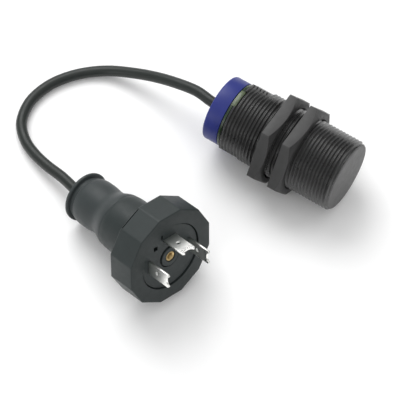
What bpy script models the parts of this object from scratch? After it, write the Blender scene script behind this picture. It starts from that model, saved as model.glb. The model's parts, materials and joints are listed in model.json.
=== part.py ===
"""Cylindrical proximity sensor, M30 x 1.5, with two panel nuts and a short lead to a plug.

Frame: +X runs along the sensor towards its sensing face, +Z is up. The origin is under the
middle of the sensor, on the surface that the two hexagon nuts lie on. Lengths are written in
millimetres and become metres where they reach Blender.
"""

import math

import bmesh
import bpy
from mathutils import Matrix, Vector

MM = 0.001

# ---- driving dimensions, mm -------------------------------------------------------------
SENSOR_LENGTH = 59.0
THREAD_R = 15.0                 # M30 crest radius
THREAD_PITCH = 1.5
THREAD_DEPTH = 0.92             # 0.6134 of the pitch
NUT_AF = 36.0                   # across the flats
NUT_THICK = 5.0
CAP_R = 13.75
CABLE_R = 2.25
FIT_GAP = 0.3                   # clearance between touching pieces

FACE_S = SENSOR_LENGTH / 2      # positions along the sensor axis are called s
REAR_S = -SENSOR_LENGTH / 2
AXIS_Z = NUT_AF / 2             # the nuts lie on their flats, so this is the axis height

# barrel
BARREL_FRONT = FACE_S - 0.6
BARREL_REAR = REAR_S + 8.5
BARREL_BORE_R = 12.6
CHAMFER_R = 14.3
NOSE_CHAMFER = 0.35
REAR_RELIEF = 0.2               # how far the barrel's rear edge is under the thread crests
FLATS_FRONT = REAR_S + 16.9
FLAT_APOTHEM = 14.25
FLAT_TURN = math.radians(30)    # the wrench flats' normals, up from the horizontal
WINDOW_HALF = 4.0               # half the width of the light window on top
WINDOW_REACH = 1.1              # how far the window runs along the barrel past the ring
CUT_DEPTH = 4.0                 # thickness of the blocks that cut the flats
CUT_WIDTH = 24.0
CUT_OVERRUN = 2.0               # how far cutters run past the barrel's rear end

# sensing head
FACE_R = 14.1
FACE_THICK = 1.3
FACE_RIM = 0.3                  # thickness where the cap lies over the barrel's end
CORE_R = 11.2
CORE_FRONT = FACE_S - 1.8
CORE_REAR = CORE_FRONT - 7.0

# circuit board
BOARD_FRONT = 15.5
BOARD_REAR = -19.5
BOARD_WIDTH = 18.0
BOARD_THICK = 1.2

# nuts: the s of each nut's flat rear face
REAR_NUT_S = -4.0
FRONT_NUT_S = 5.4
NUT_BORE_R = 15.2
NUT_CHAMFER = 1.6
NUT_STEPS = 48

# plug
HEAD_SIDES = 12
HEAD_AF = 40.3
HEAD_DEPTH = 12.0
HEAD_BORE_R = 14.3
HEAD_THROAT_R = 8.0             # the opening behind the carrier, for the leads
BODY_R = 11.8
BOOT_LIP_R = 10.35
BOOT_REAR = -50.5               # along the plug axis, from the plug's face
BOOT_LIP_REAR = BOOT_REAR + 0.6 # where the rim's full radius ends
BOOT_FRONT = -28.8
BOOT_WAIST_R = 9.55
FRONT_FLARE = 1.95              # how far the boot's front end rises over its waist
REAR_FLARE = 0.45               # how far the band towards its rear does
GROOVE_R = 8.9
BLADE_WIDTH = 6.3
BLADE_THICK = 0.8
BLADE_REACH = 10.5
BLADE_ROOT = 6.0                # how deep each blade sits in the carrier
SIDE_BLADE_R = 10.3             # blade's distance from the plug axis
EARTH_BLADE_R = 9.0
CARRIER_FACE = -0.6
CARRIER_DEPTH = 8.2

# how the plug lies: it leans on the rim of its boot, with one edge of its head over the floor
PLUG_HEADING = math.radians(-11.95)
PLUG_TILT = math.radians(16)
PLUG_ROLL = math.radians(-15)
PLUG_FACE_XY = (-6.97, -69.51)
PLUG_FACE_Z = BOOT_LIP_R * math.cos(PLUG_TILT) - BOOT_LIP_REAR * math.sin(PLUG_TILT)

ROUND_STEPS = 36

# the free lead, from the sensor's rear to just short of the plug's boot: points by hand, mm
CABLE_ROUTE = [
    (-29.9, 0.0, 18.0), (-34.2, 0.1, 18.0), (-41.6, 1.3, 17.3), (-50.5, 1.5, 14.8),
    (-59.8, 1.4, 11.2), (-69.2, 0.5, 7.3), (-80.6, -2.5, 3.6), (-88.7, -7.7, 2.4),
    (-94.7, -14.5, 2.3), (-98.9, -22.6, 2.3), (-100.5, -32.3, 2.3), (-97.9, -41.8, 2.4),
    (-92.0, -47.9, 2.7), (-85.1, -51.5, 3.5), (-76.7, -54.1, 4.9), (-68.0, -55.8, 6.4),
]
CABLE_STEP = 6.0                # spacing of the tube's own points


# ---- helpers ----------------------------------------------------------------------------
def clear_scene():
    for item in list(bpy.data.objects):
        bpy.data.objects.remove(item, do_unlink=True)


def collection(name):
    group = bpy.data.collections.new(name)
    bpy.context.scene.collection.children.link(group)
    return group


def principled(name, colour, roughness, metallic=0.0):
    material = bpy.data.materials.new(name)
    material.use_nodes = True
    shader = material.node_tree.nodes["Principled BSDF"]
    shader.inputs["Base Color"].default_value = (*colour, 1.0)
    shader.inputs["Roughness"].default_value = roughness
    shader.inputs["Metallic"].default_value = metallic
    return material


def place_on_sensor(item):
    """Turns an object's local Z onto the sensor axis."""
    item.location = (0, 0, AXIS_Z * MM)
    item.rotation_euler = (0, math.pi / 2, 0)


def add_object(name, data, material):
    item = bpy.data.objects.new(name, data)
    parts.objects.link(item)
    if material:
        data.materials.append(material)
    return item


def make_cutter(item):
    parts.objects.unlink(item)
    cutters.objects.link(item)
    item.hide_render = True
    item.display_type = "WIRE"


def boolean(target, tool, operation="DIFFERENCE"):
    change = target.modifiers.new(tool.name, "BOOLEAN")
    change.object = tool
    change.operation = operation
    if tool.name in parts.objects:
        make_cutter(tool)


def turned(name, profile, material, closed=True, steps=ROUND_STEPS, parent=None):
    """A turned piece. Profile points are (s, radius), down the outer side first."""
    mesh = bpy.data.meshes.new(name)
    points = [(r * MM, 0, s * MM) for s, r in profile]
    edges = [(i, i + 1) for i in range(len(points) - 1)]
    if closed:
        edges.append((len(points) - 1, 0))
    mesh.from_pydata(points, edges, [])
    item = add_object(name, mesh, material)
    screw = item.modifiers.new("turn", "SCREW")
    screw.steps = steps
    screw.render_steps = steps
    screw.use_merge_vertices = True
    screw.merge_threshold = 0.00001
    screw.use_smooth_shade = True
    if parent:
        item.parent = parent
    else:
        place_on_sensor(item)
    return item


def tube_profile(front, rear, outer, inner):
    return [(front, outer), (rear, outer), (rear, inner), (front, inner)]


def cube_mesh(name, boxes):
    """One mesh of separate boxes, each given as (centre, size) in mm."""
    shape = bmesh.new()
    for centre, size in boxes:
        made = bmesh.ops.create_cube(shape, size=1.0)
        move = Matrix.Translation(Vector(centre) * MM) @ Matrix.Diagonal((*(Vector(size) * MM), 1))
        bmesh.ops.transform(shape, matrix=move, verts=made["verts"])
    mesh = bpy.data.meshes.new(name)
    shape.to_mesh(mesh)
    shape.free()
    return mesh


def blocks(name, boxes, material, parent=None):
    item = add_object(name, cube_mesh(name, boxes), material)
    item.parent = parent
    return item


def prism(name, sides, across_flats, rear, front, material, parent=None):
    """A right prism along local Z with an even number of sides, one of them facing local +X."""
    shape = bmesh.new()
    corner = across_flats / 2 / math.cos(math.pi / sides) * MM
    bmesh.ops.create_cone(shape, cap_ends=True, segments=sides, radius1=corner, radius2=corner,
                          depth=(front - rear) * MM)
    # create_cone's first corner is on +Y. A quarter turn takes it to -X, and half a side more
    # puts a flat there, and so on +X too, because the number of sides is even.
    turn = Matrix.Rotation(math.pi / 2 + math.pi / sides, 4, "Z")
    lift = Matrix.Translation((0, 0, (front + rear) / 2 * MM))
    bmesh.ops.transform(shape, matrix=lift @ turn, verts=shape.verts)
    mesh = bpy.data.meshes.new(name)
    shape.to_mesh(mesh)
    shape.free()
    item = add_object(name, mesh, material)
    if parent:
        item.parent = parent
    else:
        place_on_sensor(item)
    return item


def smooth_points(route, step):
    """Points every step mm along a Catmull-Rom curve through the route's own points."""
    ends = [2 * Vector(route[0]) - Vector(route[1]), 2 * Vector(route[-1]) - Vector(route[-2])]
    guide = [ends[0], *[Vector(p) for p in route], ends[1]]
    fine = []
    for i in range(1, len(guide) - 2):
        a, b, c, d = guide[i - 1:i + 3]
        for k in range(20):
            t = k / 20
            fine.append(0.5 * (2 * b + (c - a) * t + (2 * a - 5 * b + 4 * c - d) * t ** 2
                               + (3 * b - a - 3 * c + d) * t ** 3))
    fine.append(guide[-2])
    length = sum((q - p).length for p, q in zip(fine, fine[1:]))
    spacing = length / round(length / step)
    points, travelled = [fine[0]], 0.0
    for p, q in zip(fine, fine[1:]):
        travelled += (q - p).length
        if travelled >= spacing * len(points) - 1e-6:
            points.append(q)
    if (points[-1] - fine[-1]).length > spacing / 2:
        points.append(fine[-1])
    points[-1] = fine[-1]
    return points


def wire(name, route, radius, material, resolution=2, parent=None):
    """A round wire with filled ends along a list of points in mm."""
    curve = bpy.data.curves.new(name, "CURVE")
    curve.dimensions = "3D"
    curve.bevel_depth = radius * MM
    curve.bevel_resolution = resolution
    curve.use_fill_caps = True
    spline = curve.splines.new("POLY")
    spline.points.add(len(route) - 1)
    for point, place in zip(spline.points, route):
        point.co = (*(Vector(place) * MM), 1)
    item = add_object(name, curve, material)
    item.parent = parent
    return item


# ---- sensor body ------------------------------------------------------------------------
def thread_profile():
    """The barrel's outline: chamfered nose, thread ridges as rings, square rear end."""
    nose = BARREL_FRONT - NOSE_CHAMFER
    count = int((nose - BARREL_REAR) / THREAD_PITCH)
    outline = [(BARREL_FRONT, CHAMFER_R)]
    for k in range(count):
        crest = nose - k * THREAD_PITCH
        outline.append((crest, THREAD_R))
        outline.append((crest - THREAD_PITCH / 2, THREAD_R - THREAD_DEPTH))
    outline.append((nose - count * THREAD_PITCH, THREAD_R))
    outline += [(BARREL_REAR, THREAD_R - REAR_RELIEF), (BARREL_REAR, BARREL_BORE_R),
                (BARREL_FRONT, BARREL_BORE_R)]
    return outline


def make_barrel():
    barrel = turned("threaded_barrel", thread_profile(), black_plastic)
    length = FLATS_FRONT - BARREL_REAR + CUT_OVERRUN
    middle = FLATS_FRONT - length / 2
    reach = FLAT_APOTHEM + CUT_DEPTH / 2
    for side, sign in (("far", 1), ("near", -1)):
        flat = blocks("flat_cut_" + side, [((0, 0, 0), (length, CUT_DEPTH, CUT_WIDTH))],
                      None)
        flat.location = Vector((middle, sign * reach * math.cos(FLAT_TURN),
                                AXIS_Z + sign * reach * math.sin(FLAT_TURN))) * MM
        flat.rotation_euler = (FLAT_TURN, 0, 0)
        boolean(barrel, flat)
    front = BARREL_REAR + WINDOW_REACH
    notch = blocks("window_cut", [((front - 2.0, 0, AXIS_Z + 14.5),
                                   (4.0, 2 * (WINDOW_HALF + FIT_GAP), 5.0))], None)
    boolean(barrel, notch)


def make_sensing_head():
    inner = FACE_S - FACE_THICK
    rim = FACE_S - FACE_RIM
    skirt = (12.3, 11.6, inner - 1.3)
    turned("sensing_face_cap", [
        (FACE_S, 0), (FACE_S, FACE_R - 0.2), (rim, FACE_R),
        (rim, skirt[0]), (skirt[2], skirt[0]), (skirt[2], skirt[1]), (inner, skirt[1]),
        (inner, 0)], face_plastic, closed=False)
    base = CORE_REAR + 2.0
    turned("ferrite_core", [
        (CORE_FRONT, CORE_R), (CORE_REAR, CORE_R), (CORE_REAR, 1.9), (CORE_FRONT, 1.9),
        (CORE_FRONT, 4.6), (base, 4.6), (base, 9.4), (CORE_FRONT, 9.4)], ferrite)
    front, rear, rim, hub, wall = CORE_FRONT - 0.2, base + FIT_GAP, 9.1, 5.6, 0.6
    turned("coil_bobbin", [
        (front, rim), (front - wall, rim), (front - wall, hub), (rear + wall, hub),
        (rear + wall, rim), (rear, rim), (rear, 4.9), (front, 4.9)], natural_plastic)
    turned("sensing_coil", tube_profile(front - wall - FIT_GAP, rear + wall + FIT_GAP, 8.9,
                                        hub + FIT_GAP), copper)
    holder_rear = CORE_REAR - 1.6
    turned("core_holder", [
        (skirt[2] - FIT_GAP, 12.3), (holder_rear, 12.3), (holder_rear, 3.0),
        (CORE_REAR - FIT_GAP, 3.0), (CORE_REAR - FIT_GAP, 11.5), (skirt[2] - FIT_GAP, 11.5)],
        natural_plastic)
    start, end = CORE_REAR + 0.6, BOARD_FRONT + FIT_GAP
    for count, y in enumerate((-0.9, 0.9), 1):
        wire(f"coil_lead_{count}", [(start, y, AXIS_Z), ((start + end) / 2, 1.6 * y, AXIS_Z),
                                    (end, 2.2 * y, AXIS_Z)], 0.2, copper, resolution=1)


def make_electronics():
    length = BOARD_FRONT - BOARD_REAR
    middle = (BOARD_FRONT + BOARD_REAR) / 2
    blocks("circuit_board", [((middle, 0, AXIS_Z), (length, BOARD_WIDTH, BOARD_THICK))],
           board_green)
    top = AXIS_Z + BOARD_THICK / 2 + FIT_GAP
    under = AXIS_Z - BOARD_THICK / 2 - FIT_GAP
    above = (("oscillator_chip", 5.0, 0.0, (5.0, 4.0, 1.5), chip_black),
             ("output_transistor", -7.5, 2.0, (6.6, 6.1, 2.3), chip_black),
             ("surge_suppressor", -3.0, -5.0, (4.6, 3.6, 2.3), chip_black))
    for name, s, y, size, material in above:
        blocks(name, [((s, y, top + size[2] / 2), size)], material)
    blocks("rectifier_bridge", [((-8.0, 0, under - 1.25), (5.0, 4.2, 2.5))], chip_black)
    for count, (s, y) in enumerate(((11.5, -4.5), (11.5, 4.5), (5.0, 5.5), (-14.5, -5.5)), 1):
        blocks(f"capacitor_{count}", [((s, y, top + 0.6), (3.2, 1.6, 1.2))], natural_plastic)
    for name, z in (("upper_led", top + 0.7), ("lower_led", under - 0.7)):
        blocks(name, [((BOARD_REAR + 2.0, 0, z), (3.0, 1.6, 1.4))], led_clear)


def make_rear_end():
    ring_rear = REAR_S + 7.15
    ring_front = BARREL_REAR - FIT_GAP
    cap_front = ring_rear - FIT_GAP
    skirt_front = BOARD_REAR + 0.5
    turned("rear_cap", [
        (cap_front, CAP_R), (REAR_S + 0.8, CAP_R), (REAR_S + 0.2, CAP_R - 0.35),
        (REAR_S, CAP_R - 0.95), (REAR_S, 4.3), (REAR_S + 2.2, 4.3), (REAR_S + 2.2, 11.2),
        (skirt_front, 11.2), (skirt_front, 12.1), (cap_front, 12.1)], cap_blue)
    ring = turned("light_guide_ring", tube_profile(ring_front, ring_rear, CAP_R, 12.4),
                  light_guide)
    tab_front = BARREL_REAR + WINDOW_REACH - FIT_GAP
    tab = turned("window_tab", tube_profile(tab_front, ring_front - 0.3, 14.1, 12.9), None)
    keep = blocks("window_keep", [((tab_front - 2, 0, AXIS_Z + 14), (6, 2 * WINDOW_HALF, 6))],
                  None)
    boolean(tab, keep, "INTERSECT")
    boolean(ring, tab, "UNION")
    turned("cable_bush", [
        (REAR_S + 4.0, 5.6), (REAR_S + 2.5, 5.6), (REAR_S + 2.5, 4.0), (REAR_S, 4.0),
        (REAR_S, 2.0), (REAR_S + 4.0, 2.0)], grey_rubber)
    turned("potting_plug", tube_profile(BOARD_REAR - 2.0, REAR_S + 4.6, 10.9, 3.4), resin)
    for name, y, material in (("brown_lead", -0.9, wire_brown), ("blue_lead", 0.9, wire_blue)):
        wire(name, [(REAR_S + 0.6, y, AXIS_Z), (REAR_S + 4.6, y, AXIS_Z),
                    (BOARD_REAR - 2.4, 2.4 * y, AXIS_Z + 0.4),
                    (BOARD_REAR - FIT_GAP, 3.0 * y, AXIS_Z + 0.4)], 0.6, material)


def make_nut(name, rear):
    """A hexagon nut whose front corners are chamfered and whose rear face is flat."""
    front = rear + NUT_THICK
    nut = prism(name, 6, NUT_AF, rear, front, nut_grey)
    corner = NUT_AF / 2 / math.cos(math.pi / 6)
    past, wide = rear - 1, corner + 0.05
    cone = turned(name + "_cone", [
        (front + 0.01, 0), (front + 0.01, NUT_AF / 2), (front - NUT_CHAMFER, wide),
        (past, wide), (past, 0)], None, closed=False, steps=NUT_STEPS)
    boolean(nut, cone, "INTERSECT")
    bore = prism(name + "_bore", NUT_STEPS, 2 * NUT_BORE_R, rear - 1, front + 1, None)
    boolean(nut, bore)


# ---- lead and plug ----------------------------------------------------------------------
def plug_direction():
    """The unit vector along the plug axis, out of its face."""
    return Vector((math.cos(PLUG_TILT) * math.cos(PLUG_HEADING),
                   math.cos(PLUG_TILT) * math.sin(PLUG_HEADING), math.sin(PLUG_TILT)))


def cable_route():
    """The hand-made points and two on the plug's axis, so that the lead enters it straight."""
    face = Vector((*PLUG_FACE_XY, PLUG_FACE_Z))
    out = plug_direction()
    ends = [face + out * (BOOT_REAR - back) for back in (6.0, FIT_GAP)]
    return [*CABLE_ROUTE, *ends]


def plug_frame():
    """An empty at the plug's face: local Z out of the face, local Y towards the earth blade."""
    out = plug_direction()
    up = (Vector((0, 0, 1)) - out * out.z).normalized()
    earth = Matrix.Rotation(PLUG_ROLL, 3, out) @ up
    frame = bpy.data.objects.new("plug_frame", None)
    parts.objects.link(frame)
    columns = Matrix((earth.cross(out), earth, out)).transposed()
    frame.rotation_euler = columns.to_euler()
    frame.location = Vector((*PLUG_FACE_XY, PLUG_FACE_Z)) * MM
    return frame


def make_plug_shell(frame):
    head = prism("plug_head", HEAD_SIDES, HEAD_AF, -HEAD_DEPTH, 0, plug_slate, parent=frame)
    edge = head.modifiers.new("edge", "BEVEL")
    edge.width = 0.4 * MM
    edge.segments = 1
    edge.limit_method = "ANGLE"
    edge.angle_limit = math.radians(60)
    floor = CARRIER_FACE - CARRIER_DEPTH - FIT_GAP
    room = turned("head_room", [
        (1.0, 0), (1.0, HEAD_BORE_R), (floor, HEAD_BORE_R), (floor, HEAD_THROAT_R),
        (-HEAD_DEPTH - 1, HEAD_THROAT_R), (-HEAD_DEPTH - 1, 0)], None, closed=False, parent=frame)
    boolean(head, room)
    front = -HEAD_DEPTH - FIT_GAP
    turned("plug_collar", [
        (front, BODY_R - 0.5), (front - 0.5, BODY_R), (BOOT_FRONT + 1.8, BODY_R),
        (BOOT_FRONT + FIT_GAP, BODY_R - 0.3), (BOOT_FRONT + FIT_GAP, 6.0), (front, 6.0)],
        plug_slate, parent=frame)
    turned("cable_boot", boot_profile(), grey_rubber, parent=frame)


def boot_profile():
    """The rubber boot: flared front, waist, a band, a groove and a rim round the cable."""
    waist, front_spread, rear_spread = -35.8, 7.0, 5.6
    outline = []
    for s in (BOOT_FRONT, -30.2, -31.6, -33.0, -34.4, -35.8, -37.6, -39.4, -41.4):
        before = s > waist
        bow = min(abs(s - waist) / (front_spread if before else rear_spread), 1.0)
        rise = FRONT_FLARE if before else REAR_FLARE
        outline.append((s, BOOT_WAIST_R + rise * bow * bow * (3 - 2 * bow)))
    outline += [(-46.2, 10.0), (-46.7, 9.6), (-47.0, GROOVE_R), (-48.9, GROOVE_R),
                (-49.2, 9.6), (-49.35, BOOT_LIP_R), (BOOT_LIP_REAR, BOOT_LIP_R),
                (BOOT_REAR, BOOT_LIP_R - 0.5), (BOOT_REAR, 1.9),
                (BOOT_REAR + 4.0, 1.9), (BOOT_REAR + 4.0, 4.4), (BOOT_FRONT, 4.4)]
    return outline


def blade_outline():
    """Half width by length, with a shallow bay between the two prongs at the tip."""
    half, tip, bay = BLADE_WIDTH / 2, BLADE_REACH, 1.2
    side = [(-half, CARRIER_FACE - BLADE_ROOT), (half, CARRIER_FACE - BLADE_ROOT),
            (half, tip - 0.5), (half - 0.5, tip)]
    across = half - 1.0
    arc = [(across * math.cos(math.pi * k / 8), tip - bay * math.sin(math.pi * k / 8))
           for k in range(9)]
    return side + arc + [(-half + 0.5, tip), (-half, tip - 0.5)]


def make_blade(name, frame, radius, angle):
    """A flat blade whose broad side faces the plug axis, at this angle from local +Y."""
    curve = bpy.data.curves.new(name, "CURVE")
    curve.dimensions = "2D"
    curve.fill_mode = "BOTH"
    curve.extrude = BLADE_THICK / 2 * MM
    hole = [(0.85 * math.cos(math.tau * k / 16), 4.2 + 0.85 * math.sin(math.tau * k / 16))
            for k in range(16)]
    for outline in (blade_outline(), hole):
        spline = curve.splines.new("POLY")
        spline.points.add(len(outline) - 1)
        spline.use_cyclic_u = True
        for point, (x, y) in zip(spline.points, outline):
            point.co = (x * MM, y * MM, 0, 1)
    blade = add_object(name, curve, tin)
    blade.parent = frame
    # outline X runs across the blade, outline Y along the plug axis, its thickness radially
    stand = Matrix.Rotation(math.pi / 2, 4, "X")
    turn = Matrix.Rotation(-angle, 4, "Z")
    outwards = Matrix.Translation((0, radius * MM, 0))
    blade.matrix_local = turn @ outwards @ stand


def make_plug_inside(frame):
    rear = CARRIER_FACE - CARRIER_DEPTH
    groove_depth = 0.8
    carrier = turned("pin_carrier", [
        (CARRIER_FACE, 14.0), (rear, 14.0), (rear, 2.4), (CARRIER_FACE + 0.4, 2.4),
        (CARRIER_FACE + 0.4, 4.4), (CARRIER_FACE - groove_depth, 4.4),
        (CARRIER_FACE - groove_depth, 4.9), (CARRIER_FACE, 4.9)], plug_slate, parent=frame)
    slot_size = (BLADE_WIDTH + 0.6, BLADE_THICK + 0.6, CARRIER_DEPTH + 3)
    middle = CARRIER_FACE - CARRIER_DEPTH / 2
    slots = [((0, EARTH_BLADE_R, middle), slot_size)]
    slots += [((sign * SIDE_BLADE_R, 0, middle), (slot_size[1], slot_size[0], slot_size[2]))
              for sign in (-1, 1)]
    slots.append(((-7.1, 7.3, CARRIER_FACE), (1.9, 1.9, 5.0)))
    slots.append(((-3.8, 11.1, CARRIER_FACE), (0.7, 1.8, 1.2)))
    boolean(carrier, blocks("carrier_slots", slots, None, parent=frame))
    turned("centre_insert", [
        (-0.3, 1.7), (-0.6, 2.1), (-7.0, 2.1), (-7.0, 1.25), (-0.7, 1.25), (-0.3, 1.6)],
        brass, parent=frame)
    make_blade("earth_blade", frame, EARTH_BLADE_R, 0)
    make_blade("contact_blade_1", frame, SIDE_BLADE_R, math.pi / 2)
    make_blade("contact_blade_2", frame, SIDE_BLADE_R, -math.pi / 2)
    turned("cable_ferrule", tube_profile(BOOT_REAR + 14.0, BOOT_REAR + 7.0, 3.9, 3.1), tin,
           parent=frame)
    back = rear - FIT_GAP
    for name, x, y, material in (("plug_lead_brown", -1.4, -0.8, wire_brown),
                                 ("plug_lead_blue", 1.4, -0.8, wire_blue)):
        wire(name, [(x * 0.5, y * 0.5, BOOT_REAR + 5.0), (x, y, BOOT_REAR + 8.0),
                    (x, y, BOOT_FRONT + 2.0), (2.6 * x, 2.6 * y, back - 2.0),
                    (2.6 * x, 2.6 * y, back)], 0.6, material, parent=frame)


# ---- build ------------------------------------------------------------------------------
clear_scene()
parts = collection("proximity_sensor")
cutters = collection("cutters")

black_plastic = principled("black_plastic", (0.035, 0.035, 0.037), 0.5)
nut_grey = principled("nut_grey", (0.10, 0.10, 0.105), 0.45)
face_plastic = principled("face_plastic", (0.16, 0.16, 0.165), 0.5)
cap_blue = principled("cap_blue", (0.035, 0.055, 0.30), 0.4)
light_guide = principled("light_guide", (0.32, 0.42, 0.16), 0.25)
plug_slate = principled("plug_slate", (0.06, 0.075, 0.08), 0.5)
grey_rubber = principled("grey_rubber", (0.09, 0.10, 0.10), 0.6)
cable_grey = principled("cable_grey", (0.07, 0.08, 0.075), 0.45)
natural_plastic = principled("natural_plastic", (0.62, 0.58, 0.46), 0.5)
resin = principled("resin", (0.05, 0.04, 0.035), 0.35)
ferrite = principled("ferrite", (0.05, 0.05, 0.05), 0.7)
board_green = principled("board_green", (0.02, 0.14, 0.05), 0.4)
chip_black = principled("chip_black", (0.02, 0.02, 0.02), 0.5)
led_clear = principled("led_clear", (0.75, 0.62, 0.15), 0.2)
copper = principled("copper", (0.60, 0.26, 0.12), 0.35, 1.0)
tin = principled("tin", (0.80, 0.80, 0.78), 0.25, 1.0)
brass = principled("brass", (0.78, 0.57, 0.22), 0.3, 1.0)
wire_brown = principled("wire_brown", (0.16, 0.06, 0.025), 0.5)
wire_blue = principled("wire_blue", (0.02, 0.08, 0.40), 0.5)

make_barrel()
make_sensing_head()
make_electronics()
make_rear_end()
make_nut("rear_nut", REAR_NUT_S)
make_nut("front_nut", FRONT_NUT_S)

plug = plug_frame()
make_plug_shell(plug)
make_plug_inside(plug)
wire("cable", smooth_points(cable_route(), CABLE_STEP), CABLE_R, cable_grey)
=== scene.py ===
"""The looks of the proximity sensor: fine meshes, node-based materials, soft studio light.

The CAD frame is used throughout: +X runs along the sensor towards its sensing face, +Z is up,
and the floor is z = 0. The camera, lights, lead route and noise scales are in metres. The
part's dimensions and profiles are in millimetres, a profile being (s, radius) points with s
along a piece's own axis, and are scaled by MM where they become meshes.
"""

import json
import math

import bmesh
import bpy
from mathutils import Matrix, Vector


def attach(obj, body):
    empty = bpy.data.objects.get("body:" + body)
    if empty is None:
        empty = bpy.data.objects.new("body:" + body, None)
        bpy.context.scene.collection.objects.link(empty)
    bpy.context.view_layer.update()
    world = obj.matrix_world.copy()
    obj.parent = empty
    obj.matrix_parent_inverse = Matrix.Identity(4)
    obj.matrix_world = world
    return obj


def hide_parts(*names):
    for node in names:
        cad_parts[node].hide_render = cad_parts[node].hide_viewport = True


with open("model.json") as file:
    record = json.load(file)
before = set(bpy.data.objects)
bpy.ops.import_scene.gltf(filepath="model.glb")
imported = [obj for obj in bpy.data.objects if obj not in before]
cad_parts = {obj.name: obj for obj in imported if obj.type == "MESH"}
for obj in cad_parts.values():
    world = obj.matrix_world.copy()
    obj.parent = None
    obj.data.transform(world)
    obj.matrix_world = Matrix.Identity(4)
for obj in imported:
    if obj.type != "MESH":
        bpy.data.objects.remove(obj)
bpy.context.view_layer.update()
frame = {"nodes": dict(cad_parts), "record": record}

MM = 0.001

# ---- the sensor's dimensions, mm: s runs along its axis from its middle -----------------
AXIS_Z = 18.0                   # height of the axis above the floor
FACE_S = 29.5
REAR_S = -29.5
THREAD_R = 15.0
PITCH = 1.5
THREAD_DEPTH = 0.92
BARREL_FRONT = 28.9
BARREL_REAR = -21.0
BARREL_BORE = 12.6
NOSE_R = 14.3
NOSE_LENGTH = 0.35
TAIL_DROP = 0.2                 # how much lower the thread's crest is at the barrel's rear
TAIL_SLOPE = 0.8                # and how fast it rises from there
FLATS_FRONT = -12.6
FLAT_APOTHEM = 14.25
FLAT_TURN = math.radians(30)
NUT_AF = 36.0
NUT_THICK = 5.0
NUT_BORE = 15.2
NUT_CHAMFER = 1.6
REAR_NUT_S = -4.0               # the s of each nut's rear side
FRONT_NUT_S = 5.4
FACE_R = 14.1
FACE_THICK = 1.3
SKIRT_R = 12.3                  # the face cap's skirt, inside the barrel
CAP_R = 13.75
CAP_FRONT = REAR_S + 6.85
SPIGOT_FRONT = -19.0            # the rear cap's spigot, inside the barrel
SPIGOT_R = 12.1
SPIGOT_BORE = 11.2
GUIDE_REAR = REAR_S + 7.15
GUIDE_BORE = 12.4
WINDOW_HALF = 4.0
WINDOW_REACH = 1.1
WINDOW_R = 14.1
WINDOW_FLOOR = 13.0
GAP = 0.3                       # the CAD's clearance between neighbours

# ---- the lead's and the plug's dimensions, mm: s runs out of the plug from its face -----
CABLE_R = 2.25
BOOT_REAR = -50.5
BOOT_FRONT = -28.8
BOOT_WAIST = -35.8
BOOT_WAIST_R = 9.55
BOOT_FLARE = (7.0, 1.95)        # length and rise of its curve from the waist to the front
BOOT_SWELL = (5.6, 0.45)        # and from the waist towards the rear
GROOVE_R = 8.9
LIP_R = 10.35
LIP_REAR = BOOT_REAR + 0.6
BODY_R = 11.8
BODY_BORE = 6.0
HEAD_AF = 40.3
HEAD_DEPTH = 12.0
HEAD_BORE = 14.3
HEAD_REAR_BORE = 8.0
SLIT_TURN = math.radians(120)   # round the head from its own X
SLIT_SIZE = (1.4, 9.6, 0.4)
CARRIER_R = 14.0
CARRIER_FACE = -0.6
CARRIER_REAR = -8.8
CARRIER_BORE = 2.4
BOSS_R = 4.4
BOSS_RISE = 0.4
INSERT_R = 2.1
INSERT_REAR = -7.0
INSERT_BORE = 1.25
BLADE_WIDTH = 6.3
BLADE_THICK = 0.8
BLADE_REACH = 10.5
BLADE_HOLE = 4.2                # from the plug's face to the middle of a blade's hole
BLADE_HOLE_R = 0.85
SIDE_BLADE_R = 10.3             # from the plug's axis to the middle of a blade
EARTH_BLADE_R = 9.0
PLUG_HEADING = math.radians(-11.95)
PLUG_TILT = math.radians(16)
PLUG_ROLL = math.radians(-15)
PLUG_FACE = Vector((-6.97, -69.51,
                    LIP_R * math.cos(PLUG_TILT) - LIP_REAR * math.sin(PLUG_TILT)))
PLUG_OUT = Vector((math.cos(PLUG_TILT) * math.cos(PLUG_HEADING),
                   math.cos(PLUG_TILT) * math.sin(PLUG_HEADING), math.sin(PLUG_TILT)))

# ---- the camera, metres -----------------------------------------------------------------
CAMERA_AIM = Vector((-0.01857, -0.03157, 0.0))
CAMERA_DISTANCE = 0.99308
CAMERA_ELEVATION = math.radians(60.64)
CAMERA_AZIMUTH = math.radians(33.243)
CAMERA_LENS = 225               # mm
CAMERA_SENSOR = 36              # mm

# ---- the lead's route, metres: the CAD route's own points -------------------------------
CABLE_ROUTE = [
    (-0.0299, 0.0000, 0.0180), (-0.0342, 0.0001, 0.0180), (-0.0416, 0.0013, 0.0173),
    (-0.0505, 0.0015, 0.0148), (-0.0598, 0.0014, 0.0112), (-0.0692, 0.0005, 0.0073),
    (-0.0806, -0.0025, 0.0036), (-0.0887, -0.0077, 0.0024), (-0.0947, -0.0145, 0.0023),
    (-0.0989, -0.0226, 0.0023), (-0.1005, -0.0323, 0.0023), (-0.0979, -0.0418, 0.0024),
    (-0.0920, -0.0479, 0.0027), (-0.0851, -0.0515, 0.0035), (-0.0767, -0.0541, 0.0049),
    (-0.0680, -0.0558, 0.0064),
]


def make_camera():
    data = bpy.data.cameras.new("camera")
    data.lens = CAMERA_LENS
    data.sensor_width = CAMERA_SENSOR
    data.clip_end = 20
    camera = bpy.data.objects.new("camera", data)
    bpy.context.scene.collection.objects.link(camera)
    level = math.cos(CAMERA_ELEVATION)
    back = Vector((math.sin(CAMERA_AZIMUTH) * level, -math.cos(CAMERA_AZIMUTH) * level,
                   math.sin(CAMERA_ELEVATION)))
    camera.location = CAMERA_AIM + back * CAMERA_DISTANCE
    camera.rotation_euler = (math.pi / 2 - CAMERA_ELEVATION, 0, CAMERA_AZIMUTH)
    bpy.context.scene.camera = camera


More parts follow.
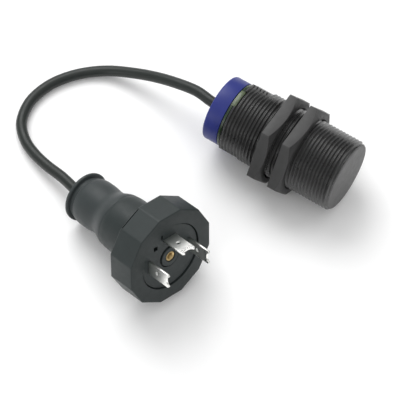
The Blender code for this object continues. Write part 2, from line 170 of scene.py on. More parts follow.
# ---- materials --------------------------------------------------------------------------
NOISE_SPAN = (0.3, 0.7)         # nearly all of the noise lies between these


def new_material(name):
    material = bpy.data.materials.new(name)
    material.use_nodes = True
    tree = material.node_tree
    return material, tree, tree.nodes["Principled BSDF"]


def noise(tree, scale, detail=4.0):
    """Noise in the piece's own coordinates, which are metres: 1 / scale is its grain."""
    place = tree.nodes.new("ShaderNodeTexCoord")
    texture = tree.nodes.new("ShaderNodeTexNoise")
    texture.inputs["Scale"].default_value = scale
    texture.inputs["Detail"].default_value = detail
    texture.inputs["Roughness"].default_value = 0.55
    tree.links.new(place.outputs["Object"], texture.inputs["Vector"])
    return texture.outputs["Fac"]


def ramp(tree, value, stops):
    """A colour ramp through (position, colour) stops."""
    node = tree.nodes.new("ShaderNodeValToRGB")
    while len(node.color_ramp.elements) < len(stops):
        node.color_ramp.elements.new(0.5)
    for element, (position, colour) in zip(node.color_ramp.elements, stops):
        element.position = position
        element.color = (*colour, 1)
    tree.links.new(value, node.inputs["Fac"])
    return node.outputs["Color"]


def shade(colour, factor):
    return tuple(min(1.0, c * factor) for c in colour)


def mottle(tree, shader, colour, amount, scale):
    """The colour varies a little over the surface, as moulded plastic does."""
    low, high = NOISE_SPAN
    stops = [(low, shade(colour, 1 - amount)), (high, shade(colour, 1 + amount))]
    tree.links.new(ramp(tree, noise(tree, scale), stops), shader.inputs["Base Color"])


def paint_edge_highlight_and_corner_shade(tree, shader, colour, highlight_lift):
    """Painted highlight on outer edges and painted shade in inner corners, with faint random specks.
    """
    geometry = tree.nodes.new("ShaderNodeNewGeometry")
    # Pointiness is 0.5 on a flat surface, less in a hollow and more on an edge
    # hollows are darkened as painted shade, edges lightened as a painted highlight
    stops = [(0.42, shade(colour, 0.55)), (0.49, colour), (0.53, colour),
             (0.62, shade(colour, highlight_lift))]
    painted_light = ramp(tree, geometry.outputs["Pointiness"], stops)
    mix = tree.nodes.new("ShaderNodeMix")
    mix.data_type = "RGBA"
    mix.blend_type = "MULTIPLY"
    mix.inputs["Factor"].default_value = 1.0
    low, high = NOISE_SPAN
    speck = ramp(tree, noise(tree, 260), [(low, (0.9, 0.9, 0.9)), (high, (1.0, 1.0, 1.0))])
    tree.links.new(painted_light, mix.inputs["A"])
    tree.links.new(speck, mix.inputs["B"])
    tree.links.new(mix.outputs["Result"], shader.inputs["Base Color"])


def uneven_roughness(tree, shader, smooth, rough, scale):
    """Gloss that varies between two roughnesses over the surface."""
    stretch = tree.nodes.new("ShaderNodeMapRange")
    stretch.inputs["From Min"].default_value = NOISE_SPAN[0]
    stretch.inputs["From Max"].default_value = NOISE_SPAN[1]
    stretch.inputs["To Min"].default_value = smooth
    stretch.inputs["To Max"].default_value = rough
    tree.links.new(noise(tree, scale), stretch.inputs["Value"])
    tree.links.new(stretch.outputs["Result"], shader.inputs["Roughness"])


def grain(tree, shader, scale, depth, strength):
    """Fine bump. Depth is in metres."""
    bump = tree.nodes.new("ShaderNodeBump")
    bump.inputs["Strength"].default_value = strength
    bump.inputs["Distance"].default_value = depth
    tree.links.new(noise(tree, scale, detail=2.0), bump.inputs["Height"])
    tree.links.new(bump.outputs["Normal"], shader.inputs["Normal"])


def moulded(name, colour, rough, specular=0.5, painted_edge_lift=None, texture=(2600, 0.00003, 0.35)):
    """Moulded plastic: mottled colour, or instead painted highlights on outer edges and painted
    shade in inner corners; uneven gloss and a fine spark-eroded texture.
    """
    material, tree, shader = new_material(name)
    # painted highlight on edges and painted shade in corners, in place of the mottling
    if painted_edge_lift:
        paint_edge_highlight_and_corner_shade(tree, shader, colour, painted_edge_lift)
    else:
        mottle(tree, shader, colour, 0.08, 180)
    uneven_roughness(tree, shader, rough - 0.05, rough + 0.06, 420)
    grain(tree, shader, *texture)
    shader.inputs["Specular IOR Level"].default_value = specular
    return material


def soft_rubber(name, colour, rough):
    """Elastomer: mottled, uneven in gloss, with a slight sheen."""
    material, tree, shader = new_material(name)
    mottle(tree, shader, colour, 0.10, 150)
    uneven_roughness(tree, shader, rough - 0.06, rough + 0.06, 300)
    grain(tree, shader, 1800, 0.00004, 0.4)
    shader.inputs["Specular IOR Level"].default_value = 0.3
    shader.inputs["Sheen Weight"].default_value = 0.1
    shader.inputs["Sheen Roughness"].default_value = 0.5
    return material


def plated(name, colour, rough):
    """Sheet metal: bright, with rolling marks, fine scratches and slight dulling."""
    material, tree, shader = new_material(name)
    mottle(tree, shader, colour, 0.10, 240)
    shader.inputs["Metallic"].default_value = 1.0
    uneven_roughness(tree, shader, rough - 0.06, rough + 0.10, 700)
    grain(tree, shader, 3500, 0.00002, 0.05)
    return material


def blade_metal(name, shaded_root_colour, tip_colour, rough):
    """Plating, bright at the blade's tip; towards its root the colour is darkened as painted shade,
    and the gloss is duller.
    """
    material, tree, shader = new_material(name)
    place = tree.nodes.new("ShaderNodeTexCoord")
    split = tree.nodes.new("ShaderNodeSeparateXYZ")
    along = tree.nodes.new("ShaderNodeMapRange")
    along.inputs["From Max"].default_value = BLADE_REACH * MM
    tree.links.new(place.outputs["Object"], split.inputs["Vector"])
    tree.links.new(split.outputs["Y"], along.inputs["Value"])
    # the darker colour at the root is painted shade beside the plug's face
    stops = [(0.0, shaded_root_colour), (0.7, tip_colour)]
    tree.links.new(ramp(tree, along.outputs["Result"], stops), shader.inputs["Base Color"])
    shader.inputs["Metallic"].default_value = 1.0
    tarnish = tree.nodes.new("ShaderNodeMapRange")
    tarnish.inputs["To Min"].default_value = rough + 0.25
    tarnish.inputs["To Max"].default_value = rough
    tree.links.new(along.outputs["Result"], tarnish.inputs["Value"])
    tree.links.new(tarnish.outputs["Result"], shader.inputs["Roughness"])
    return material


def translucent(name, colour):
    """Tinted translucent plastic, a little cloudy inside."""
    material, tree, shader = new_material(name)
    mottle(tree, shader, colour, 0.12, 220)
    uneven_roughness(tree, shader, 0.2, 0.34, 400)
    grain(tree, shader, 1500, 0.00002, 0.2)
    shader.inputs["Transmission Weight"].default_value = 0.1
    shader.inputs["Subsurface Weight"].default_value = 0.3
    shader.inputs["Subsurface Radius"].default_value = (0.001, 0.0015, 0.0005)
    return material


def board_mask(name):
    """Green solder mask over copper tracks, which show as paler stripes."""
    material, tree, shader = new_material(name)
    place = tree.nodes.new("ShaderNodeTexCoord")
    brick = tree.nodes.new("ShaderNodeTexBrick")
    brick.inputs["Scale"].default_value = 220
    brick.inputs["Color1"].default_value = (0.015, 0.13, 0.045, 1)
    brick.inputs["Color2"].default_value = (0.02, 0.17, 0.06, 1)
    brick.inputs["Mortar"].default_value = (0.06, 0.30, 0.12, 1)
    tree.links.new(place.outputs["Object"], brick.inputs["Vector"])
    tree.links.new(brick.outputs["Color"], shader.inputs["Base Color"])
    uneven_roughness(tree, shader, 0.3, 0.42, 500)
    return material


# ---- mesh tools -------------------------------------------------------------------------
def sensor_place():
    """Takes a piece's own Z onto the sensor axis, its own X down to -Z."""
    return Matrix.Translation((0, 0, AXIS_Z * MM)) @ Matrix.Rotation(math.pi / 2, 4, "Y")


def plug_place():
    """Takes a piece's own Z out of the plug's face, its own Y towards the earth blade."""
    up = (Vector((0, 0, 1)) - PLUG_OUT * PLUG_OUT.z).normalized()
    earth = Matrix.Rotation(PLUG_ROLL, 3, PLUG_OUT) @ up
    turn = Matrix((earth.cross(PLUG_OUT), earth, PLUG_OUT)).transposed().to_4x4()
    return Matrix.Translation(PLUG_FACE * MM) @ turn


def finish_mesh(name, shape, place, material, sharp=35):
    """Makes an object of a bmesh in millimetres, placed and smooth except at sharp edges."""
    bmesh.ops.remove_doubles(shape, verts=shape.verts, dist=0.0005)
    bmesh.ops.recalc_face_normals(shape, faces=shape.faces)
    mesh = bpy.data.meshes.new(name)
    shape.to_mesh(mesh)
    shape.free()
    mesh.transform(place @ Matrix.Diagonal((MM, MM, MM, 1)))
    mesh.shade_smooth()
    mesh.set_sharp_from_angle(angle=math.radians(sharp))
    mesh.materials.append(material)
    item = bpy.data.objects.new(name, mesh)
    bpy.context.scene.collection.objects.link(item)
    return item


def lathe(name, rows, steps, place, material, closed=True, sharp=35):
    """A turned surface. A row is (s, radius) or a function from an angle to that pair."""
    shape = bmesh.new()
    rings = []
    for row in rows:
        ring = []
        for k in range(steps):
            angle = math.tau * k / steps
            s, r = row(angle) if callable(row) else row
            ring.append(shape.verts.new((r * math.cos(angle), r * math.sin(angle), s)))
        rings.append(ring)
    pairs = list(zip(rings, rings[1:]))
    if closed:
        pairs.append((rings[-1], rings[0]))
    for lower, upper in pairs:
        for k in range(steps):
            after = (k + 1) % steps
            shape.faces.new((lower[k], lower[after], upper[after], upper[k]))
    return finish_mesh(name, shape, place, material, sharp)


def round_edge(s, r, turn_s, turn_r, size, count=4):
    """Profile points round a corner at (s, r), from the end face side to the outer side.

    turn_s is which way the end face lies along s, turn_r which way the corner points in r.
    """
    centre_s, centre_r = s - turn_s * size, r - turn_r * size
    return [(centre_s + turn_s * size * math.cos(math.pi / 2 * k / count),
             centre_r + turn_r * size * math.sin(math.pi / 2 * k / count))
            for k in range(count + 1)]


CORNER_ROUND = 0.5              # of the nuts' and the head's corners, mm


def rounded_polygon(angle, sides, across_flats, corner_round):
    """The radius of a regular polygon with rounded corners; a side faces angle 0."""
    step = math.tau / sides
    off = abs((angle + step / 2) % step - step / 2)
    apothem = across_flats / 2
    straight = (apothem - corner_round) * math.tan(step / 2)
    if apothem * math.tan(off) <= straight:
        return apothem / math.cos(off)
    toward = (apothem - corner_round) * math.cos(off) + straight * math.sin(off)
    across = (apothem - corner_round) * math.sin(off) - straight * math.cos(off)
    return toward + math.sqrt(max(corner_round ** 2 - across ** 2, 0))


# ---- the sensor -------------------------------------------------------------------------
CREST_HALF = 0.13               # half the rounded crest's width, to its shoulders
SHOULDER = 0.06                 # depth of a crest's shoulder
# one thread turn as (position along the pitch, depth): crest, flank, root, flank
THREAD_TURN = [(-CREST_HALF, SHOULDER), (-0.07, 0.0), (0.07, 0.0), (CREST_HALF, SHOULDER),
               (0.62, 0.89), (0.70, THREAD_DEPTH), (0.80, THREAD_DEPTH), (0.88, 0.89)]


def thread_depth(phase):
    """Depth below the crest at a place along one pitch."""
    phase = (phase + CREST_HALF) % PITCH - CREST_HALF
    turn = [*THREAD_TURN, (PITCH - CREST_HALF, SHOULDER)]
    for (a, depth_a), (b, depth_b) in zip(turn, turn[1:]):
        if a <= phase <= b:
            return depth_a + (depth_b - depth_a) * (phase - a) / (b - a)
    return SHOULDER


def barrel_radius(s, angle):
    """The barrel's outside: helical thread, chamfered ends and two smooth wrench flats."""
    r = THREAD_R - thread_depth(s - PITCH * angle / math.tau)
    r = min(r, NOSE_R + (BARREL_FRONT - s) * (THREAD_R - NOSE_R) / NOSE_LENGTH)
    r = min(r, THREAD_R - TAIL_DROP + (s - BARREL_REAR) * TAIL_SLOPE)
    if s < FLATS_FRONT:
        # own X points down and own Y to +Y, so a normal FLAT_TURN above +Y is at 120 degrees
        for normal in (math.pi / 2 + FLAT_TURN, 1.5 * math.pi + FLAT_TURN):
            off = abs((angle - normal + math.pi) % math.tau - math.pi)
            if off < math.acos(FLAT_APOTHEM / THREAD_R):
                r = min(FLAT_APOTHEM / math.cos(off), THREAD_R)
    return r


def make_barrel(material):
    """The threaded tube as one closed mesh, notched where the light guide's window lies."""
    steps = 216
    first = math.floor(BARREL_REAR / PITCH) - 1
    last = math.ceil(BARREL_FRONT / PITCH) + 1

    def outside(base, angle):
        s = min(max(base + PITCH * angle / math.tau, BARREL_REAR), BARREL_FRONT)
        return s, barrel_radius(s, angle)

    shape = bmesh.new()
    bases = [turn * PITCH + at for turn in range(first, last) for at, _ in THREAD_TURN]
    rows = [lambda a, base=base: outside(base, a) for base in bases]
    rows += [lambda a: (BARREL_FRONT, BARREL_BORE), lambda a: (BARREL_REAR, BARREL_BORE)]
    rings = []
    for row in rows:
        ring = []
        # the helix steps on by one pitch in a turn, so the seam has its own last column
        for k in range(steps + 1):
            angle = math.tau * k / steps
            s, r = row(angle)
            ring.append(shape.verts.new((r * math.cos(angle), r * math.sin(angle), s)))
        rings.append(ring)
    for lower, upper in zip(rings, [*rings[1:], rings[0]]):
        for k in range(steps):
            shape.faces.new((lower[k], lower[k + 1], upper[k + 1], upper[k]))
    barrel = finish_mesh("barrel_shell", shape, sensor_place(), material)
    front, length = BARREL_REAR + WINDOW_REACH, 4.0
    deep, wide = 5.0, 2 * (WINDOW_HALF + 0.1)
    notch = box_cutter("notch", (-14.5, 0, front - length / 2), (deep, wide, length),
                       sensor_place())
    cut(barrel, [notch], sharp=50)
    return barrel


def make_nut(name, rear, material):
    """A hexagon nut: chamfered corners in front, a flat rear, and softened edges."""
    front, flat = rear + NUT_THICK, NUT_AF / 2
    slope = NUT_CHAMFER / (flat / math.cos(math.pi / 6) - flat)
    soft, lead_in = 0.22, 0.45
    land, inner_land = flat - 0.3, flat - 0.6

    def edge(angle, inset=0.0):
        return rounded_polygon(angle, 6, NUT_AF, CORNER_ROUND) - inset

    def top(r):
        return front - slope * max(0.0, r - flat + 0.25)

    def chamfer(angle, share):
        r = land + (edge(angle, soft) - land) * share
        return top(r), r

    rows = [(rear + lead_in, NUT_BORE), (front - lead_in, NUT_BORE), (front, NUT_BORE + lead_in),
            (front, inner_land), (front, land)]
    rows += [lambda a, t=share: chamfer(a, t) for share in (0.35, 0.7)]
    turns = [math.pi / 2 * k / 3 for k in range(4)]
    rows += [lambda a, t=turn: (top(edge(a, soft)) - soft * (1 - math.cos(t)),
                                edge(a, soft * (1 - math.sin(t)))) for turn in turns]
    rows += [lambda a, t=turn: (rear + soft * (1 - math.sin(t)),
                                edge(a, soft * (1 - math.cos(t)))) for turn in turns]
    rows += [(rear, inner_land), (rear, NUT_BORE + lead_in)]
    return lathe(name, rows, 288, sensor_place(), material, sharp=28)


def make_face_cap(material):
    """The flat front disc: its rim lies on the barrel's end and its skirt inside the bore."""
    rim, inner, wall = BARREL_FRONT + 0.05, FACE_S - FACE_THICK, 0.7
    skirt = inner - 1.3
    rows = [(FACE_S, 0.0), (FACE_S, 7.0), (FACE_S, 12.5)]
    rows += round_edge(FACE_S, FACE_R, 1, 1, 0.25)
    rows += [(rim, FACE_R), (rim, SKIRT_R), (skirt, SKIRT_R), (skirt, SKIRT_R - wall),
             (inner, SKIRT_R - wall), (inner, 0.0)]
    return lathe("face_disc", rows, 160, sensor_place(), material, closed=False)


def make_rear_cap(material):
    """The rounded end cap, with a hole for the lead and a spigot inside the barrel."""
    hole, inside = 4.3, REAR_S + 2.2
    rows = [(CAP_FRONT, SPIGOT_R)]
    rows += round_edge(CAP_FRONT, CAP_R, 1, 1, 0.12, 2)
    rows += list(reversed(round_edge(REAR_S, CAP_R, -1, 1, 0.95, 7)))
    rows += [(REAR_S, hole + 0.9), (REAR_S + 0.15, hole + 0.6), (REAR_S + 0.3, hole),
             (inside, hole), (inside, SPIGOT_BORE), (SPIGOT_FRONT, SPIGOT_BORE),
             (SPIGOT_FRONT, SPIGOT_R)]
    return lathe("cap_shell", rows, 160, sensor_place(), material)


def make_light_guide(ring_material, lit_window_material):
    """The thin ring all round and its window, which reaches forward on top of the barrel."""
    rear, front = GUIDE_REAR, BARREL_REAR - GAP
    rows = [(front, GUIDE_BORE)]
    rows += round_edge(front, CAP_R, 1, 1, 0.15, 3)
    rows += list(reversed(round_edge(rear, CAP_R, -1, 1, 0.15, 3)))
    rows.append((rear, GUIDE_BORE))
    ring = lathe("guide_ring", rows, 160, sensor_place(), ring_material)
    shape = bmesh.new()
    reach = BARREL_REAR + WINDOW_REACH - GAP
    half = math.asin(WINDOW_HALF / WINDOW_R)
    start, sunk = rear + 0.02, CAP_R - 0.35
    profile = [(start, sunk), (start, CAP_R + 0.03), (rear + 0.2, CAP_R + 0.25),
               (front, WINDOW_R - 0.02), (reach - 0.2, WINDOW_R), (reach - 0.05, WINDOW_R - 0.07),
               (reach, WINDOW_R - 0.2), (reach, WINDOW_FLOOR), (front, WINDOW_FLOOR),
               (front, sunk)]
    count = 24
    rings = []
    for k in range(count + 1):
        angle = math.pi - half + 2 * half * k / count
        rings.append([shape.verts.new((r * math.cos(angle), r * math.sin(angle), s))
                      for s, r in profile])
    for one, other in zip(rings, rings[1:]):
        for j in range(len(profile)):
            after = (j + 1) % len(profile)
            shape.faces.new((one[j], one[after], other[after], other[j]))
    shape.faces.new(rings[0])
    shape.faces.new(list(reversed(rings[-1])))
    # the window's colour is painted lighter than the ring's, as painted light
    window = finish_mesh("guide_window", shape, sensor_place(), lit_window_material)
    return ring, window


# ---- the lead and the plug --------------------------------------------------------------
def smooth_route(route, splits=20):
    """Points along a Catmull-Rom curve through the route's own points."""
    ends = [2 * Vector(route[0]) - Vector(route[1]), 2 * Vector(route[-1]) - Vector(route[-2])]
    guide = [ends[0], *[Vector(p) for p in route], ends[1]]
    points = []
    for i in range(1, len(guide) - 2):
        a, b, c, d = guide[i - 1:i + 3]
        for k in range(splits):
            t = k / splits
            points.append(0.5 * (2 * b + (c - a) * t + (2 * a - 5 * b + 4 * c - d) * t ** 2
                                 + (3 * b - a - 3 * c + d) * t ** 3))
    return [*points, guide[-2]]


def make_cable(material):
    """The lead: the route's own points, then two more in line with the boot."""
    ends = [(PLUG_FACE + PLUG_OUT * (BOOT_REAR - back)) * MM for back in (6.0, GAP)]
    points = smooth_route([*CABLE_ROUTE, *ends])[::4]
    curve = bpy.data.curves.new("lead", "CURVE")
    curve.dimensions = "3D"
    curve.bevel_depth = CABLE_R * MM
    curve.bevel_resolution = 8
    curve.use_fill_caps = True
    spline = curve.splines.new("POLY")
    spline.points.add(len(points) - 1)
    for point, place in zip(spline.points, points):
        point.co = (*place, 1)
    spline.use_smooth = True
    curve.materials.append(material)
    cable = bpy.data.objects.new("lead", curve)
    bpy.context.scene.collection.objects.link(cable)
    return cable


def make_boot(material):
    """Flared front, waist, swelling band, groove and rim, with a short sleeve round the lead."""
    cavity, sleeve = 4.4, 2.3
    sleeve_front, seam = BOOT_REAR + 4.0, BOOT_FRONT + GAP - 0.05
    rows = [(BOOT_FRONT, cavity), (BOOT_FRONT, 11.0), (seam, 11.1), (seam, 11.45)]
    start, end, count = BOOT_FRONT - 0.15, -41.4, 30
    for k in range(count + 1):
        s = start + (end - start) * k / count
        spread, rise = BOOT_FLARE if s > BOOT_WAIST else BOOT_SWELL
        bow = min(abs(s - BOOT_WAIST) / spread, 1.0)
        rows.append((s, BOOT_WAIST_R + rise * bow * bow * (3 - 2 * bow)))
    rows += [(-43.4, 10.0), (-44.3, 9.97), (-45.2, 9.88), (-46.0, 9.73), (-46.6, 9.55),
             (-46.8, 9.4), (-46.92, 9.1), (-46.95, GROOVE_R), (-48.9, GROOVE_R),
             (-48.95, 9.3), (-49.05, 10.0), (-49.2, 10.25), (-49.4, LIP_R),
             (LIP_REAR, LIP_R), (LIP_REAR - 0.35, LIP_R - 0.1), (BOOT_REAR, LIP_R - 0.5),
             (BOOT_REAR, sleeve + 0.9), (BOOT_REAR + 0.4, sleeve + 0.3),
             (BOOT_REAR + 1.2, sleeve), (sleeve_front, sleeve), (sleeve_front, cavity)]
    return lathe("boot_rubber", rows, 144, plug_place(), material, sharp=40)


def make_collar(material):
    """The round body between the head and the boot, easing in a little towards the boot."""
    front, rear = -HEAD_DEPTH - GAP, BOOT_FRONT + GAP
    rows = [(front, BODY_BORE), (front, BODY_R - 0.6)]
    rows += round_edge(front, BODY_R - 0.05, 1, 1, 0.45)
    rows += [(front - 2.4, BODY_R - 0.02), (rear + 2.2, BODY_R), (rear + 1.0, BODY_R - 0.1),
             (rear + 0.3, BODY_R - 0.25), (rear, BODY_R - 0.35), (rear, BODY_BORE)]
    return lathe("collar_body", rows, 144, plug_place(), material)


def make_head(material):
    """The twelve-sided head with its round seat for the carrier."""
    floor = CARRIER_REAR - GAP
    soft = 0.45

    def edge(angle, inset=0.0):
        return rounded_polygon(angle, 12, HEAD_AF, CORNER_ROUND) - inset

    rows = [(-HEAD_DEPTH, HEAD_REAR_BORE), (floor, HEAD_REAR_BORE), (floor, HEAD_BORE),
            (-0.15, HEAD_BORE), (0, HEAD_BORE + 0.15), (0, 16.5)]
    turns = [math.pi / 2 * k / 4 for k in range(5)]
    rows += [lambda a, t=turn: (-soft * (1 - math.cos(t)), edge(a, soft * (1 - math.sin(t))))
             for turn in turns]
    rows += [lambda a, t=turn: (-HEAD_DEPTH + soft * (1 - math.sin(t)),
                                edge(a, soft * (1 - math.cos(t)))) for turn in turns]
    rows.append((-HEAD_DEPTH, 13.0))
    head = lathe("head_shell", rows, 288, plug_place(), material, sharp=26)
    # one facet has a fine slit along its rear edge
    slit = box_cutter("slit", (HEAD_AF / 2, 0, -HEAD_DEPTH + 0.55), SLIT_SIZE, plug_place(),
                      SLIT_TURN)
    cut(head, [slit], sharp=26)
    return head


def box_cutter(name, centre, size, place, turn=0.0):
    """A block for cutting, turned about the place's own Z after it is put at its centre."""
    shape = bmesh.new()
    bmesh.ops.create_cube(shape, size=1.0)
    bmesh.ops.transform(shape, matrix=Matrix.Translation(centre)
                        @ Matrix.Diagonal((*size, 1)), verts=shape.verts)
    mesh = bpy.data.meshes.new(name)
    shape.to_mesh(mesh)
    shape.free()
    mesh.transform(place @ Matrix.Rotation(turn, 4, "Z") @ Matrix.Diagonal((MM, MM, MM, 1)))
    item = bpy.data.objects.new(name, mesh)
    bpy.context.scene.collection.objects.link(item)
    return item


def cut(item, cutters, sharp=30):
    """Cuts each block out of the item and removes the blocks."""
    for tool in cutters:
        change = item.modifiers.new("cut", "BOOLEAN")
        change.object = tool
    bpy.context.view_layer.update()
    depsgraph = bpy.context.evaluated_depsgraph_get()
    mesh = bpy.data.meshes.new_from_object(item.evaluated_get(depsgraph))
    item.modifiers.clear()
    item.data = mesh
    mesh.set_sharp_from_angle(angle=math.radians(sharp))
    for tool in cutters:
        bpy.data.objects.remove(tool, do_unlink=True)


def make_carrier(material):
    """The blade carrier: a round insert with a raised boss inside a fine groove."""
    groove_r, groove_floor = BOSS_R + 0.5, CARRIER_FACE - 0.8
    boss_top = CARRIER_FACE + BOSS_RISE
    rows = [(CARRIER_REAR, CARRIER_BORE), (CARRIER_REAR, CARRIER_R),
            (CARRIER_FACE - 0.15, CARRIER_R), (CARRIER_FACE, CARRIER_R - 0.15),
            (CARRIER_FACE, groove_r + 0.1), (CARRIER_FACE - 0.1, groove_r),
            (groove_floor, groove_r), (groove_floor, BOSS_R), (boss_top - 0.15, BOSS_R),
            (boss_top, BOSS_R - 0.2), (boss_top, CARRIER_BORE)]
    carrier = lathe("carrier_disc", rows, 144, plug_place(), material)
    width, thick, deep = BLADE_WIDTH + 0.2, BLADE_THICK + 0.2, 11.2
    middle = (CARRIER_FACE + CARRIER_REAR) / 2
    # the three blades' slots, then a square hole and a small mark beside the earth blade
    holes = [((0, EARTH_BLADE_R, middle), (width, thick, deep)),
             ((-SIDE_BLADE_R, 0, middle), (thick, width, deep)),
             ((SIDE_BLADE_R, 0, middle), (thick, width, deep)),
             ((-7.1, 7.3, CARRIER_FACE), (1.9, 1.9, 5.0)),
             ((-3.8, 11.1, CARRIER_FACE), (0.7, 1.8, 1.2))]
    cut(carrier, [box_cutter(f"hole_{k}", *hole, plug_place()) for k, hole in enumerate(holes)])
    return carrier


def make_insert(material):
    """The brass bush: turned rim, tapped bore as fine rings."""
    first, step, deep = -0.7, 0.25, 0.14
    rows = [(INSERT_REAR, INSERT_R), (-0.6, INSERT_R), (-0.35, 1.95), (-0.3, 1.75), (-0.45, 1.5)]
    rows += [(first - step * k, INSERT_BORE + deep * (k % 2)) for k in range(24)]
    rows.append((INSERT_REAR, INSERT_BORE))
    return lathe("insert_bush", rows, 64, plug_place(), material)


def blade_outline():
    """Half width by length, with a shallow bay between the two prongs at the tip."""
    half, tip, root = BLADE_WIDTH / 2, BLADE_REACH, CARRIER_FACE - 6.0
    bay, prong, corner, count = 1.2, 1.0, 0.5, 16
    side = [(-half, root), (half, root), (half, tip - corner), (half - corner, tip)]
    arc = [((half - prong) * math.cos(math.pi * k / count),
            tip - bay * math.sin(math.pi * k / count)) for k in range(count + 1)]
    return side + arc + [(-half + corner, tip), (-half, tip - corner)]


def make_blade(name, radius, angle, material):
    """A flat blade with softened edges, its broad side to the plug axis."""
    soft = 0.12
    curve = bpy.data.curves.new(name, "CURVE")
    curve.dimensions = "2D"
    curve.fill_mode = "BOTH"
    curve.extrude = (BLADE_THICK / 2 - soft) * MM
    curve.bevel_depth = soft * MM
    curve.bevel_resolution = 2
    curve.offset = -soft * MM
    count = 32
    hole = [(BLADE_HOLE_R * math.cos(math.tau * k / count),
             BLADE_HOLE + BLADE_HOLE_R * math.sin(math.tau * k / count)) for k in range(count)]
    for outline in (blade_outline(), hole):
        spline = curve.splines.new("POLY")
        spline.points.add(len(outline) - 1)
        spline.use_cyclic_u = True
        for point, (x, y) in zip(spline.points, outline):
            point.co = (x * MM, y * MM, 0, 1)
    curve.materials.append(material)
    blade = bpy.data.objects.new(name, curve)
    bpy.context.scene.collection.objects.link(blade)
    # outline X runs across the blade, outline Y along the plug axis, its thickness radially
    stand = Matrix.Rotation(math.pi / 2, 4, "X")
    turn = Matrix.Rotation(-angle, 4, "Z")
    out = Matrix.Translation((0, radius * MM, 0))
    blade.matrix_world = plug_place() @ turn @ out @ stand
    return blade


# ---- light and floor --------------------------------------------------------------------
LIGHT_TARGET = (0.0, -0.02, 0.0)
# name, place, size and power, in metres and watts
LIGHTS = [("key", (-0.50, 0.34, 0.72), (0.7, 0.7), 6.4),
          ("fill", (-0.25, -0.85, 0.32), (0.7, 0.4), 1.6)]
FLOOR_HALF = 4.0
FLOOR_GREY = 0.96
HORIZON_GREY = 0.22


def area_light(name, place, size, power):
    data = bpy.data.lights.new(name, "AREA")
    data.shape = "RECTANGLE"
    data.size, data.size_y = size
    data.energy = power
    light = bpy.data.objects.new(name, data)
    light.location = place
    light.rotation_euler = (Vector(LIGHT_TARGET) - Vector(place)).to_track_quat("-Z", "Y").to_euler()
    bpy.context.scene.collection.objects.link(light)


def make_floor():
    shape = bmesh.new()
    bmesh.ops.create_grid(shape, x_segments=1, y_segments=1, size=FLOOR_HALF)
    mesh = bpy.data.meshes.new("floor")
    shape.to_mesh(mesh)
    shape.free()
    floor = bpy.data.objects.new("floor", mesh)
    bpy.context.scene.collection.objects.link(floor)
    material, _, shader = new_material("pale_floor")
    shader.inputs["Base Color"].default_value = (FLOOR_GREY, FLOOR_GREY, FLOOR_GREY, 1)
    shader.inputs["Roughness"].default_value = 0.9
    mesh.materials.append(material)


def make_light():
    """Pale overhead, darker towards the horizon for the threads to mirror, and two lights."""
    world = bpy.data.worlds.new("studio")
    world.use_nodes = True
    tree = world.node_tree
    place = tree.nodes.new("ShaderNodeTexCoord")
    split = tree.nodes.new("ShaderNodeSeparateXYZ")
    tree.links.new(place.outputs["Generated"], split.inputs["Vector"])
    stops = [(0.0, (HORIZON_GREY, HORIZON_GREY, HORIZON_GREY)), (1.0, (1.0, 1.0, 1.0))]
    sky = ramp(tree, split.outputs["Z"], stops)
    tree.links.new(sky, tree.nodes["Background"].inputs["Color"])
    bpy.context.scene.world = world
    bpy.context.scene.view_settings.view_transform = "Standard"
    for light in LIGHTS:
        area_light(*light)


# ---- build ------------------------------------------------------------------------------
make_camera()

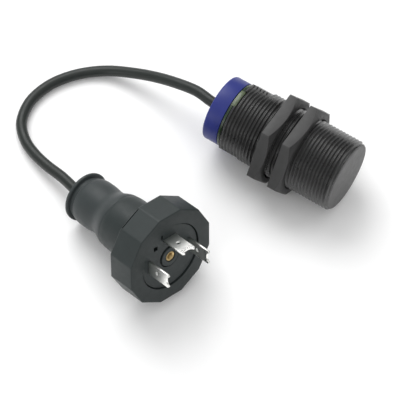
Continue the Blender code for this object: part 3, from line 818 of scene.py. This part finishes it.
look = {
    # the black, nut and plug plastics get painted edge highlights and painted corner shade
    "black_plastic": moulded("black_thread", (0.010, 0.010, 0.010), 0.30, 0.9, painted_edge_lift=2.6),
    "nut_grey": moulded("nut_plastic", (0.05, 0.05, 0.05), 0.5, 0.3, painted_edge_lift=1.25),
    "face_plastic": moulded("face_plastic", (0.10, 0.10, 0.10), 0.5, 0.3),
    "cap_blue": moulded("cap_plastic", (0.019, 0.028, 0.18), 0.40, 0.3),
    "light_guide": translucent("guide_plastic", (0.015, 0.035, 0.012)),
    "plug_slate": moulded("plug_plastic", (0.024, 0.031, 0.031), 0.46, 0.28, painted_edge_lift=1.2),
    "grey_rubber": soft_rubber("boot_rubber", (0.027, 0.034, 0.035), 0.5),
    "cable_grey": soft_rubber("jacket", (0.013, 0.017, 0.015), 0.40),
    "natural_plastic": moulded("natural_plastic", (0.62, 0.58, 0.46), 0.5),
    "resin": moulded("cast_resin", (0.05, 0.04, 0.035), 0.35),
    "ferrite": moulded("ferrite", (0.05, 0.05, 0.05), 0.7),
    "board_green": board_mask("solder_mask"),
    "chip_black": moulded("chip_epoxy", (0.02, 0.02, 0.02), 0.5),
    "led_clear": moulded("led_resin", (0.75, 0.62, 0.15), 0.25),
    "copper": plated("enamelled_copper", (0.60, 0.26, 0.12), 0.35),
    "tin": plated("tin_plate", (0.86, 0.86, 0.83), 0.24),
    "brass": plated("turned_brass", (0.62, 0.46, 0.22), 0.32),
    "wire_brown": moulded("brown_wire", (0.16, 0.06, 0.025), 0.5),
    "wire_blue": moulded("blue_wire", (0.02, 0.08, 0.40), 0.5),
}
# the window is the ring's plastic painted lighter, as painted light on its upward face
lit_window_look = translucent("guide_window_lit_plastic", (0.075, 0.10, 0.05))
# the first, darker colour is painted shade at the blades' roots
blade_look = blade_metal("blade_plate", (0.42, 0.45, 0.43), (0.95, 0.95, 0.92), 0.22)


def show(piece, body, slot, *nodes):
    """A piece rides on its body and stands for its CAD nodes, which it hides. The slot is not used.
    """
    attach(piece, body)
    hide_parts(*nodes)
    return piece


slots = {row["node"]: row["material_slot"] for row in frame["record"]["subparts"]}
for node, item in frame["nodes"].items():
    item.data.materials.clear()
    item.data.materials.append(look[slots[node]])

cable = show(make_cable(look["cable_grey"]), "sensor", "cable_grey", "cable")
boot = show(make_boot(look["grey_rubber"]), "sensor", "grey_rubber", "cable_boot")
collar = show(make_collar(look["plug_slate"]), "sensor", "plug_slate", "plug_collar")
head = show(make_head(look["plug_slate"]), "sensor", "plug_slate", "plug_head")
carrier = show(make_carrier(look["plug_slate"]), "sensor", "plug_slate", "pin_carrier")
bush = show(make_insert(look["brass"]), "sensor", "brass", "centre_insert")
blades = [show(make_blade("blade_" + node, radius, angle, blade_look), "sensor", "tin", node)
          for node, radius, angle in (("earth_blade", EARTH_BLADE_R, 0),
                                      ("contact_blade_1", SIDE_BLADE_R, math.pi / 2),
                                      ("contact_blade_2", SIDE_BLADE_R, -math.pi / 2))]

show(make_barrel(look["black_plastic"]), "sensor", "black_plastic", "threaded_barrel")
show(make_face_cap(look["face_plastic"]), "sensor", "face_plastic", "sensing_face_cap")
show(make_rear_cap(look["cap_blue"]), "sensor", "cap_blue", "rear_cap")
for piece in make_light_guide(look["light_guide"], lit_window_look):
    show(piece, "sensor", "light_guide", "light_guide_ring")
show(make_nut("rear_hexagon", REAR_NUT_S, look["nut_grey"]), "rear_nut", "nut_grey", "rear_nut")
show(make_nut("front_hexagon", FRONT_NUT_S, look["nut_grey"]), "front_nut", "nut_grey", "front_nut")

make_floor()
make_light()
